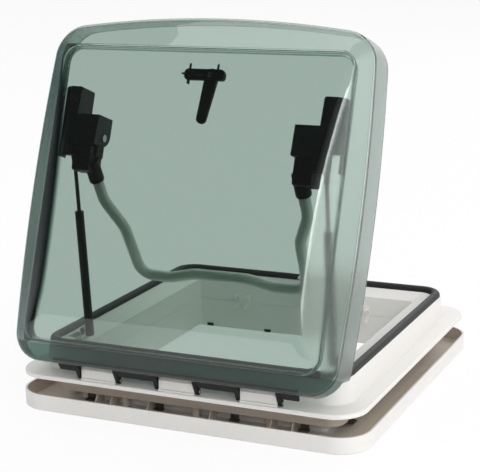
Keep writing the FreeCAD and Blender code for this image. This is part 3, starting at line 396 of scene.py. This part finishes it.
def place_on_dome(finish):
    """A point's X, its place along the closed dome and its height over the plateau's edge."""
    x, y, z = finish.parts(finish.place())
    along = y * math.cos(OPEN_ANGLE) + z * math.sin(OPEN_ANGLE) + CLOSED_SHIFT
    height = z * math.cos(OPEN_ANGLE) + y * -math.sin(OPEN_ANGLE) - PLATEAU_DISTANCE
    return x, along, height


def thick_acrylic(name, tint, edge_tint, shoulder_shade_tint, near_shade_tint):
    """Smoked sheet that bends light at its edges and lets the lamps' light through.

    Its tint deepens where it turns away from the eye, most of all on the crown's shoulders, and
    it is deep on the strip beside the hinge: painted shade, with a little of the longer path
    through the sheet. The side borders and the shoulders are a little hazy.
    """
    finish = Finish(name)
    cloud = finish.noise(*ACRYLIC_CLOUD)
    x, along, height = place_on_dome(finish)
    past_side = abs(x) - PLATEAU_HALF * MM
    past_end = (abs(along - (PLATEAU_NEAR + PLATEAU_FAR) / 2 * MM)
                - (PLATEAU_FAR - PLATEAU_NEAR) / 2 * MM)
    under_slope = past_side * (-CROWN_RISE / CROWN_INSET) - height
    hazy = finish.fade(under_slope, SHOULDER_HAZE).at_least(finish.fade(past_side, BORDER_HAZE))
    on_crown = finish.fade(past_side.at_least(past_end), CROWN_TINT)
    # Painted shade, and a little of the longer path: border and, less, skirt darken edge on
    depth = finish.fade(height, BORDER_TINT) * (1 - SKIRT_SHARE) + SKIRT_SHARE
    border = finish.blend(turned_away(finish, BORDER_TURN) * depth, tint, edge_tint)
    # Painted shade, and a little of the longer path: the crown's shoulders go nearly black edge on
    shoulder = finish.blend(turned_away(finish, SHOULDER_TURN), tint, shoulder_shade_tint)
    body = finish.blend(on_crown, border, shoulder)
    glass = finish.node("ShaderNodeBsdfPrincipled", sockets={
        # Painted shade: the strip beside the hinge is deep, for the shaded frame and hinge bar
        # behind it
        "Base Color": finish.blend(finish.fade(along, NEAR_SHADE_STRIP), body, near_shade_tint),
        "Specular IOR Level": ACRYLIC_SHINE,
        "Transmission Weight": 1.0,
        "IOR": ACRYLIC_IOR,
        "Roughness": cloud * ACRYLIC_ROUGHNESS + hazy * HAZE_ROUGHNESS + ACRYLIC_ROUGHNESS})
    from_lamps = finish.node("ShaderNodeLightPath", output="Is Shadow Ray")
    let_through = finish.node("ShaderNodeBsdfTransparent", sockets={"Color": tint})
    return finish.surface(finish.mixed(from_lamps, glass, let_through))


def thin_acrylic(name, tint, edge_tint):
    """Smoked sheet seen through another: light passes straight with a tint, and it shines."""
    finish = Finish(name)
    cloud = finish.noise(*ACRYLIC_CLOUD)
    clear = finish.node("ShaderNodeBsdfTransparent", sockets={"Color": tint})
    deep = finish.node("ShaderNodeBsdfTransparent", sockets={"Color": edge_tint})
    through = finish.mixed(turned_away(finish, INNER_TURN), clear, deep)
    gloss = finish.node("ShaderNodeBsdfAnisotropic", sockets={
        "Color": (1, 1, 1, 1), "Roughness": cloud * GLOSS_ROUGHNESS + GLOSS_ROUGHNESS})
    shine = finish.facing() ** GLOSS_POWER * GLOSS_EDGE + GLOSS_FACING
    return finish.surface(finish.mixed(shine, through, gloss))


def deselect():
    bpy.ops.object.select_all(action="DESELECT")


def dress(material, *names):
    """Give CAD nodes a material."""
    for name in names:
        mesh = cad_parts[name].data
        mesh.materials.clear()
        mesh.materials.append(material)


def outline(half, near, far, radius):
    """Points (x, y) of a rectangle with round corners, the same number for every ring."""
    corners = ((half - radius, far - radius, 0), (radius - half, far - radius, 90),
               (radius - half, near + radius, 180), (half - radius, near + radius, 270))
    points = []
    for number, (cx, cy, start) in enumerate(corners):
        for step in range(CORNER_STEPS + 1):
            angle = math.radians(start + 90 * step / CORNER_STEPS)
            points.append((cx + radius * math.cos(angle), cy + radius * math.sin(angle)))
        nx, ny, _ = corners[(number + 1) % 4]
        angle = math.radians(start + 90)
        end = (nx + radius * math.cos(angle), ny + radius * math.sin(angle))
        last = points[-1]
        for step in range(1, SIDE_STEPS):
            share = step / SIDE_STEPS
            points.append(tuple(a + (b - a) * share for a, b in zip(last, end)))
    return points


def skirt_outline(inset, flare=0.0):
    """The dome's outer outline, straight at the hinge and bowed on its other sides."""
    near = CREASE_NEAR + inset - flare
    far = CREASE_FAR - inset + flare
    middle = (near + far) / 2
    reach = (far - near) / 2
    points = []
    for x, y in outline(CREASE_HALF - inset + flare, near, far, CORNER_R - inset + flare):
        along = (y - middle) / reach
        bowed_y = y + (EDGE_BOW * (1 - (x / CREASE_HALF) ** 2) if along > 0 else 0)
        points.append((x * (1 + SIDE_BOW / CREASE_HALF * (1 - along ** 2)), bowed_y))
    return points


def plateau_outline(inset):
    """The edge of the plateau, moved inwards."""
    return outline(PLATEAU_HALF - inset, PLATEAU_NEAR + inset, PLATEAU_FAR - inset,
                   max(PLATEAU_R - inset / 2, PLATEAU_LEAST_R))


def crown_share(along):
    """Share of the crown's rise, at a share of the length from the hinge."""
    if along < CROWN_PEAK:
        return math.sin(math.pi / 2 * (max(along, 0) / CROWN_PEAK) ** RISE_POWER)
    fallen = min((along - CROWN_PEAK) / (1 - CROWN_PEAK), 1)
    return math.cos(math.pi / 2 * fallen ** FALL_POWER)


def crown_height(x, y, inset, full_rise):
    """Height of the crown over the plateau's edge, with its shoulders rounded."""
    near = PLATEAU_NEAR + inset
    far = PLATEAU_FAR - inset
    rise = full_rise * crown_share((y - near) / (far - near))
    edge = max(min(y - near, far - y, PLATEAU_R), 0)
    corner = PLATEAU_R - math.sqrt(PLATEAU_R ** 2 - (PLATEAU_R - edge) ** 2)
    side = max(PLATEAU_HALF - inset - corner - abs(x), 0) * CROWN_RISE / CROWN_INSET
    width = min(SHOULDER_BEND, rise + side)
    if width < LEAST_BEND:
        return 0.0
    return max(min(rise, side) - max(width - abs(rise - side), 0) ** 2 / (4 * width), 0)


def raised(points, z):
    """A flat ring at a height."""
    return [(x, y, z) for x, y in points]


def between(first, second, share):
    """Ring part of the way from one ring to another."""
    return [tuple(a + (b - a) * share for a, b in zip(p, q)) for p, q in zip(first, second)]


def crown_rings(inset, base, full_rise):
    """Rings from the plateau's edge inwards, closing on the crown's middle."""
    flat = [plateau_outline(inset + step) for step in SHOULDER_INSETS]
    innermost = flat[-1]
    middle = (PLATEAU_NEAR + PLATEAU_FAR) / 2
    for share in CROWN_SHARES:
        flat.append([(x * share, middle + (y - middle) * share) for x, y in innermost])
    return [[(x, y, base + crown_height(x, y, inset, full_rise)) for x, y in ring]
            for ring in flat]


def draw_sheet(name, rings):
    """Draw a sheet up from a circle: each ring is extruded from the last and set in its place."""
    deselect()
    bpy.ops.mesh.primitive_circle_add(vertices=len(rings[0]), radius=START_RADIUS,
                                      fill_type="NOTHING")
    sheet = bpy.context.object
    sheet.name = name
    sheet.data.name = name
    bpy.ops.object.mode_set(mode="EDIT")
    mesh = bmesh.from_edit_mesh(sheet.data)
    order = mesh.verts.layers.int.new("order")
    for number, vertex in enumerate(mesh.verts):
        vertex[order] = number
    for number, ring in enumerate(rings):
        if number:
            bpy.ops.mesh.extrude_region_move()
            mesh = bmesh.from_edit_mesh(sheet.data)
            order = mesh.verts.layers.int["order"]
        for vertex in mesh.verts:
            if vertex.select:
                vertex.co = Vector(ring[vertex[order]]) * MM
        bmesh.update_edit_mesh(sheet.data)
    bpy.ops.mesh.merge(type="CENTER")
    bpy.ops.mesh.select_all(action="SELECT")
    bpy.ops.mesh.normals_make_consistent(inside=False)
    bpy.ops.object.mode_set(mode="OBJECT")
    highest = max(sheet.data.vertices, key=lambda vertex: vertex.co.z)
    if highest.normal.z < 0:
        sheet.data.flip_normals()
    return sheet


def thicken_and_open(sheet, thickness, smooth_angle):
    """Give a sheet its thickness on the inner side, swing it open on the hinge and smooth it."""
    deselect()
    sheet.select_set(True)
    bpy.context.view_layer.objects.active = sheet
    wall = sheet.modifiers.new("wall", "SOLIDIFY")
    wall.thickness = thickness
    wall.offset = -1.0
    wall.use_even_offset = True
    bpy.ops.object.modifier_apply(modifier="wall")
    sheet.data.transform(OPENED)
    bpy.ops.object.shade_smooth_by_angle(angle=smooth_angle)


def length_setting(name, description, default):
    return bpy.props.FloatProperty(name=name, description=description, default=default,
                                   min=0.0, unit="LENGTH", subtype="DISTANCE", precision=4)


def power_setting(name, description, default):
    return bpy.props.FloatProperty(name=name, description=description, default=default,
                                   min=0.0, unit="POWER")


def colour_setting(name, description, default):
    return bpy.props.FloatVectorProperty(name=name, description=description, default=default,
                                         size=4, min=0.0, max=1.0, subtype="COLOR")


class SkylightSizes(bpy.types.PropertyGroup):
    """Sizes of the pieces and of the stage, and the lamps' strengths."""

    outer_sheet: length_setting("Outer sheet", "Thickness of the outer pane", 0.003)
    inner_sheet: length_setting("Inner sheet", "Thickness of the inner pane", 0.0025)
    smooth_angle: bpy.props.FloatProperty(
        name="Smooth angle", description="Edges sharper than this stay crisp",
        default=math.radians(35), unit="ROTATION", subtype="ANGLE")
    floor_size: length_setting("Floor size", "Width of the studio floor", 80.0)
    lamp_size: length_setting("Lamp size", "Width of the back lamp, which key and fill follow", 3.0)
    lamp_power: power_setting("Lamp power",
                              "Strength of the back lamp, which key and fill follow", 58.5)
    strip_width: length_setting("Strip width", "Width of the strip lamps", 0.4)
    strip_height: length_setting("Strip height", "Height of the strip lamps", 1.6)
    strip_power: power_setting("Strip power", "Strength that each strip lamp takes a share of", 20.0)


class SkylightColours(bpy.types.PropertyGroup):
    """Colours of the finishes."""

    white: colour_setting("White plastic", "Frames, hooks and catch", (0.75, 0.735, 0.715, 1))
    # White in the gap is painted shade: the white plastic made warmer and darker where frames shade
    # it
    gap: colour_setting("White in the gap", "White plastic in the gap between the frames",
                        (0.60, 0.535, 0.46, 1))
    outer_tint: colour_setting("Outer pane", "Light that the outer pane lets through",
                               (0.50, 0.585, 0.545, 1))
    # Painted shade, and a little of the longer path through the sheet, darkens the pane edge on
    edge_shade_colour: colour_setting("Outer pane's edge", "Light that it lets through seen edge on",
                               (0.034, 0.09, 0.088, 1))
    # Mostly painted shade: the shoulders' near black stands in for shade seen through the pane
    shoulder_shade_colour: colour_setting("Crown's shoulder",
                                   "Light that the shoulder lets through seen edge on",
                                   (0.003, 0.012, 0.0125, 1))
    # Painted shade: the shaded frame and hinge bar behind the strip beside the hinge, painted into
    # it
    near_shade_colour: colour_setting("Strip beside the hinge",
                               "Light that the outer pane lets through there",
                               (0.10, 0.185, 0.16, 1))
    inner_tint: colour_setting("Inner pane", "Light left after one face of the inner pane",
                               (0.86, 0.90, 0.88, 1))
    inner_edge: colour_setting("Inner pane's edge", "Light left after one face seen edge on",
                               (0.30, 0.40, 0.37, 1))
    black: colour_setting("Black plastic", "Hinge, bail blocks, latch, clips and strut ends",
                          (0.010, 0.0105, 0.011, 1))
    boxes: colour_setting("Box plastic", "Guide and pivot boxes", (0.012, 0.0135, 0.0145, 1))
    rubber: colour_setting("Seal", "Rubber of the seal", (0.016, 0.0165, 0.017, 1))
    bail: colour_setting("Bail", "Tube that the hand pulls", (0.62, 0.66, 0.63, 1))
    steel: colour_setting("Steel", "Screws, pins and strut feet", (0.45, 0.44, 0.42, 1))
    bracket: colour_setting("Bracket steel", "Clamp brackets", (0.1575, 0.154, 0.147, 1))
    rod: colour_setting("Rod", "Blackened rods of the gas struts", (0.04, 0.042, 0.044, 1))
    cylinder: colour_setting("Cylinder", "Paint on the gas struts", (0.01, 0.0105, 0.011, 1))
    floor: colour_setting("Floor", "Studio floor", (0.9, 0.9, 0.9, 1))


class SKYLIGHT_OT_frames(bpy.types.Operator):
    """Finish both frames, the bail hooks and the latch catch in white plastic"""

    bl_idname = "skylight.frames"
    bl_label = "Frames"

    def execute(self, context):
        colours = context.scene.skylight_colours
        # The white plastic carries painted shade in the gap between the frames
        white = white_plastic("White plastic", colours.white, colours.gap, roughness=0.42)
        dress(white, "outer_frame", "inner_frame", "bail_hooks", "latch_catch")
        return {"FINISHED"}


class SKYLIGHT_OT_seal(bpy.types.Operator):
    """Finish the seal in rubber"""

    bl_idname = "skylight.seal"
    bl_label = "Seal"

    def execute(self, context):
        colours = context.scene.skylight_colours
        rubber = moulded("Seal rubber", colours.rubber, roughness=0.5, shine=SATIN_SHINE)
        dress(rubber, "seal")
        return {"FINISHED"}


class SKYLIGHT_OT_fasteners(bpy.types.Operator):
    """Finish the clamp brackets, screws, pins and strut feet in steel"""

    bl_idname = "skylight.fasteners"
    bl_label = "Fasteners"

    def execute(self, context):
        colours = context.scene.skylight_colours
        dress(metal("Bracket steel", colours.bracket, roughness=0.5), "clamp_brackets")
        steel = metal("Screw steel", colours.steel, roughness=0.32)
        dress(steel, "clamp_screws", "frame_screws", "box_screws", "hinge_pin",
              "left_strut_foot", "right_strut_foot", "bail_pivot_pins", "latch_pin")
        return {"FINISHED"}


class SKYLIGHT_OT_black_parts(bpy.types.Operator):
    """Finish the hinge bar, boxes, bail blocks, latch and clips in black plastic"""

    bl_idname = "skylight.black_parts"
    bl_label = "Black parts"

    def execute(self, context):
        colours = context.scene.skylight_colours
        black = moulded("Black plastic", colours.black, roughness=0.42, shine=DULL_SHINE)
        dress(black, "hinge_bar", "left_bail_block", "right_bail_block", "latch_base",
              "latch_lever", "liner_clips")
        boxes = moulded("Box plastic", colours.boxes, roughness=0.45, shine=SATIN_SHINE)
        dress(boxes, "left_guide_box", "right_guide_box", "left_pivot_box", "right_pivot_box")
        return {"FINISHED"}


class SKYLIGHT_OT_bail(bpy.types.Operator):
    """Finish the bail's tube in satin paint"""

    bl_idname = "skylight.bail"
    bl_label = "Bail"

    def execute(self, context):
        colours = context.scene.skylight_colours
        dress(metal("Bail tube", colours.bail, roughness=0.36, metallic=0.3), "bail_tube")
        return {"FINISHED"}


class SKYLIGHT_OT_struts(bpy.types.Operator):
    """Finish the gas struts: painted cylinders, blackened rods and black ends"""

    bl_idname = "skylight.struts"
    bl_label = "Gas struts"

    def execute(self, context):
        colours = context.scene.skylight_colours
        paint = moulded("Cylinder paint", colours.cylinder, roughness=0.35, shine=SATIN_SHINE,
                        grain=METAL_DEPTH)
        blackened = metal("Rod steel", colours.rod, roughness=0.2, grain=ROD_DEPTH)
        ends = moulded("Strut ends", colours.black, roughness=0.45, shine=SATIN_SHINE)
        for side in ("left", "right"):
            dress(paint, side + "_strut_cylinder")
            dress(blackened, side + "_strut_rod", side + "_strut_piston")
            dress(ends, side + "_strut_gland", side + "_strut_foot_socket",
                  side + "_strut_rod_end")
        return {"FINISHED"}


class SKYLIGHT_OT_outer_pane(bpy.types.Operator):
    """Draw the outer pane: skirt, rounded crease, border strip, step and crown"""

    bl_idname = "skylight.outer_pane"
    bl_label = "Outer pane"

    def execute(self, context):
        sizes = context.scene.skylight_sizes
        colours = context.scene.skylight_colours
        plateau_z = CREASE_Z + BORDER_RISE
        foot = raised(skirt_outline(0.0, SKIRT_FLARE), CREASE_Z - SKIRT_DROP)
        crease = raised(skirt_outline(0.0), CREASE_Z)
        edge = raised(plateau_outline(0.0), plateau_z)
        step = raised(plateau_outline(STEP_FOOT_INSET), plateau_z - STEP_RISE)
        rings = [self.lower_edge(foot, crease)]
        rings += [between(foot, crease, share) for share in SKIRT_SHARES]
        rings += [self.rounded_crease(foot, crease, edge, share) for share in BEND_SHARES]
        rings += [between(crease, step, share) for share in BORDER_SHARES]
        rings.append(step)
        rings += [raised(plateau_outline(inset), plateau_z - left * STEP_RISE)
                  for inset, left in STEP_TOP]
        rings += crown_rings(0.0, plateau_z, CROWN_RISE)
        pane = draw_sheet("outer_pane", rings)
        thicken_and_open(pane, sizes.outer_sheet, sizes.smooth_angle)
        pane.data.materials.append(thick_acrylic("Smoked acrylic", colours.outer_tint,
                                                 colours.edge_shade_colour, colours.shoulder_shade_colour,
                                                 colours.near_shade_colour))
        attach(pane, "dome")
        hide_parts("dome_outer")
        return {"FINISHED"}

    def lower_edge(self, foot, crease):
        """The skirt's lower edge, which is cut higher beside the hinge."""
        cut = between(foot, crease, (SKIRT_DROP - FRONT_DROP) / SKIRT_DROP)
        return [high if low[1] < FRONT_CUT_Y else low for low, high in zip(foot, cut)]

    def rounded_crease(self, foot, crease, edge, share):
        """Ring on the bend between the skirt and the border strip."""
        below = between(foot, crease, BEND_FROM)
        above = between(crease, edge, BEND_TO)
        return between(between(below, crease, share), between(crease, above, share), share)


class SKYLIGHT_OT_inner_pane(bpy.types.Operator):
    """Draw the inner pane: flat rim, upright wall and crown"""

    bl_idname = "skylight.inner_pane"
    bl_label = "Inner pane"

    def execute(self, context):
        sizes = context.scene.skylight_sizes
        colours = context.scene.skylight_colours
        top = CREASE_Z + BORDER_RISE - INNER_EDGE_DROP
        rings = [raised(skirt_outline(RIM_INSET), RIM_Z)]
        rings += [raised(plateau_outline(INNER_WALL_INSET + inset), RIM_Z + height)
                  for inset, height in WALL_FOOT]
        rings += [raised(plateau_outline(INNER_WALL_INSET + inset), top - depth)
                  for inset, depth in WALL_TOP]
        rings += crown_rings(INNER_WALL_INSET, top, INNER_RISE)
        pane = draw_sheet("inner_pane", rings)
        thicken_and_open(pane, sizes.inner_sheet, sizes.smooth_angle)
        pane.data.materials.append(thin_acrylic("Clear acrylic", colours.inner_tint,
                                                colours.inner_edge))
        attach(pane, "dome")
        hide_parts("dome_inner")
        return {"FINISHED"}


def add_lamp(name, place, aim, size, power):
    """Soft lamp turned towards a point, with its height along the Z axis."""
    data = bpy.data.lights.new(name, "AREA")
    data.shape = "RECTANGLE"
    data.size, data.size_y = size
    data.energy = power
    lamp = bpy.data.objects.new(name, data)
    lamp.location = place
    lamp.rotation_mode = "QUATERNION"
    lamp.rotation_quaternion = (Vector(aim) - Vector(place)).to_track_quat("-Z", "Y")
    bpy.context.scene.collection.objects.link(lamp)


def seen_directly(finish):
    """One for rays that show the background itself: to the camera, in a shine or through glass."""
    kinds = ("Is Camera Ray", "Is Glossy Ray", "Is Transmission Ray")
    parts = [finish.node("ShaderNodeLightPath", output=kind) for kind in kinds]
    return (parts[0] + parts[1] + parts[2]).at_most(1.0)


class SKYLIGHT_OT_stage(bpy.types.Operator):
    """Set the studio floor, the lamps, the room's light and the camera"""

    bl_idname = "skylight.stage"
    bl_label = "Stage"

    def execute(self, context):
        sizes = context.scene.skylight_sizes
        self.lay_floor(sizes.floor_size, context.scene.skylight_colours.floor)
        self.light_room(context)
        for name, place, aim, width, strength in LAMPS:
            side = width * sizes.lamp_size
            add_lamp(name, place, aim, (side, side), sizes.lamp_power * strength)
        for name, direction, strength in STRIPS:
            add_lamp(name, DOME_MIDDLE + Vector(direction) * STRIP_DISTANCE, DOME_MIDDLE,
                     (sizes.strip_width, sizes.strip_height), sizes.strip_power * strength)
        self.place_camera(context)
        context.scene.view_settings.view_transform = "Standard"
        return {"FINISHED"}

    def lay_floor(self, size, tone):
        """Pale paper that shows as plain white and still takes the object's shadow."""
        deselect()
        bpy.ops.mesh.primitive_plane_add(size=size, location=(0, 0, FLOOR_Z * MM))
        floor = bpy.context.object
        floor.name = "studio_floor"
        finish = Finish("Studio floor")
        paper = finish.node("ShaderNodeBsdfPrincipled", sockets={
            "Base Color": tone, "Roughness": 0.9, "Specular IOR Level": 0.1})
        white = finish.node("ShaderNodeEmission", sockets=WHITE_LIGHT)
        share = seen_directly(finish) * FLOOR_WHITE
        floor.data.materials.append(finish.surface(finish.mixed(share, paper, white)))

    def light_room(self, context):
        """Even light from all around, with a dark half that shows only in shines."""
        world = bpy.data.worlds.new("Studio")
        world.use_nodes = True
        context.scene.world = world
        finish = Finish("Studio", world.node_tree)
        room = finish.node("ShaderNodeBackground", sockets=ROOM_LIGHT)
        white = finish.node("ShaderNodeBackground", sockets=WHITE_LIGHT)
        dark = finish.node("ShaderNodeBackground", sockets=DARK_LIGHT)
        direction = finish.node("ShaderNodeTexCoord", output="Generated")
        towards_bright = finish.node("ShaderNodeVectorMath", {"operation": "DOT_PRODUCT"},
                                     {0: direction, 1: BRIGHT_WAY}, output="Value")
        darkness = finish.node("ShaderNodeMapRange",
                               sockets={"Value": towards_bright, **DARK_SPAN})
        shine = finish.node("ShaderNodeLightPath", output="Is Glossy Ray")
        bright = finish.mixed(seen_directly(finish), room, white)
        light = finish.mixed(shine * darkness, bright, dark)
        finish.node("ShaderNodeOutputWorld", sockets={"Surface": light})

    def place_camera(self, context):
        """The camera of the photograph, from its turn, rise and roll about the object."""
        turn = math.radians(CAMERA_TURN)
        rise = math.radians(CAMERA_RISE)
        roll = math.radians(CAMERA_ROLL)
        back = Vector((math.sin(turn) * math.cos(rise), -math.cos(turn) * math.cos(rise),
                       math.sin(rise)))
        level = Vector((math.cos(turn), math.sin(turn), 0))
        up = back.cross(level)
        right = level * math.cos(roll) + up * math.sin(roll)
        over = up * math.cos(roll) - level * math.sin(roll)
        axes = Matrix((right, over, back)).transposed()
        offset = Vector((*CAMERA_SHIFT, -CAMERA_DISTANCE)) * MM
        data = bpy.data.cameras.new("camera")
        data.sensor_width = SENSOR
        data.lens = FOCAL_PIXELS / IMAGE_WIDTH * SENSOR
        camera = bpy.data.objects.new("camera", data)
        camera.matrix_world = Matrix.Translation(-(axes @ offset)) @ axes.to_4x4()
        context.scene.collection.objects.link(camera)
        context.scene.camera = camera


OPERATORS = (SKYLIGHT_OT_frames, SKYLIGHT_OT_seal, SKYLIGHT_OT_fasteners, SKYLIGHT_OT_black_parts,
             SKYLIGHT_OT_bail, SKYLIGHT_OT_struts, SKYLIGHT_OT_outer_pane, SKYLIGHT_OT_inner_pane,
             SKYLIGHT_OT_stage)


class SKYLIGHT_PT_panel(bpy.types.Panel):
    """Buttons that dress the skylight, and its sizes and colours"""

    bl_idname = "SKYLIGHT_PT_panel"
    bl_label = "Roof Skylight"
    bl_space_type = "VIEW_3D"
    bl_region_type = "UI"
    bl_category = "Skylight"

    def draw(self, context):
        layout = self.layout
        for operator in OPERATORS:
            layout.operator(operator.bl_idname)
        for group in (context.scene.skylight_sizes, context.scene.skylight_colours):
            for name in group.__annotations__:
                layout.prop(group, name)


CLASSES = (SkylightSizes, SkylightColours) + OPERATORS + (SKYLIGHT_PT_panel,)


def register():
    for cls in CLASSES:
        bpy.utils.register_class(cls)
    bpy.types.Scene.skylight_sizes = bpy.props.PointerProperty(type=SkylightSizes)
    bpy.types.Scene.skylight_colours = bpy.props.PointerProperty(type=SkylightColours)


def unregister():
    del bpy.types.Scene.skylight_colours
    del bpy.types.Scene.skylight_sizes
    for cls in reversed(CLASSES):
        bpy.utils.unregister_class(cls)


def main():
    register()
    bpy.ops.skylight.frames()
    bpy.ops.skylight.seal()
    bpy.ops.skylight.fasteners()
    bpy.ops.skylight.black_parts()
    bpy.ops.skylight.bail()
    bpy.ops.skylight.struts()
    bpy.ops.skylight.outer_pane()
    bpy.ops.skylight.inner_pane()
    bpy.ops.skylight.stage()


if __name__ == "__main__":
    main()
